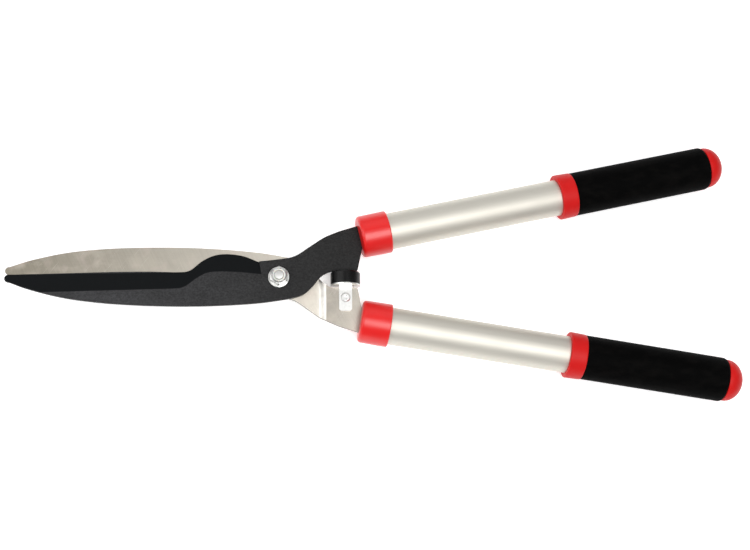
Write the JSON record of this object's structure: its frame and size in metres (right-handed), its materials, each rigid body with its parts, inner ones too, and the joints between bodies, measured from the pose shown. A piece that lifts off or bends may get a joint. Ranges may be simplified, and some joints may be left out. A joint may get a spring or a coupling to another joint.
{
  "type": "hedge shears",
  "caption": "Hand hedge shears: coated and plain steel blades crossed on a bolt, tubular handles with soft grips and a rubber shock stop.",
  "frame": {"origin": "centre of the bounding box's bottom face, with the shears lying flat", "axes": "+X runs from the blades to the handles along the bisector of the handles, +Y to the coated half's handle, +Z to the side of the pivot nut"},
  "size_m": [0.567, 0.2064, 0.0358],
  "materials": {
    "bright_steel": "bright stamped steel, fine lengthwise grain",
    "coated_steel": "matt black non-stick coating, ground edge darker and smoother",
    "zinc": "bright zinc plate",
    "nylon": "natural nylon",
    "buffer_rubber": "black rubber, low sheen",
    "red_plastic": "red moulded plastic, satin gloss",
    "black_plastic": "black moulded plastic",
    "tube_aluminium": "satin anodised, champagne silver",
    "grip_rubber": "matt black soft grip"
  },
  "bodies": {
    "plain_half": {"plain_blade": "bright_steel", "pivot_bolt": "zinc", "spring_washer": "zinc", "nut_washer": "zinc", "pivot_nut": "zinc", "nut_insert": "nylon", "buffer_bracket": "zinc", "bracket_rivet": "zinc", "buffer_washer": "zinc", "rubber_buffer": "buffer_rubber", "buffer_rivet": "zinc", "lower_collar": "red_plastic", "lower_tang_pin": "zinc", "lower_tang_core": "black_plastic", "lower_handle_tube": "tube_aluminium", "lower_grip_ring": "red_plastic", "lower_grip_sleeve": "grip_rubber", "lower_end_cap": "red_plastic"},
    "coated_half": {"coated_blade": "coated_steel", "upper_collar": "red_plastic", "upper_tang_pin": "zinc", "upper_tang_core": "black_plastic", "upper_handle_tube": "tube_aluminium", "upper_grip_ring": "red_plastic", "upper_grip_sleeve": "grip_rubber", "upper_end_cap": "red_plastic"}
  },
  "joints": [
    {"name": "blade_pivot", "type": "hinge", "parent": "plain_half", "child": "coated_half", "pos_m": [-0.07821, 0.00208, 0.01615], "axis": [0, 0, 1], "range_deg": [0, 80]}
  ]
}
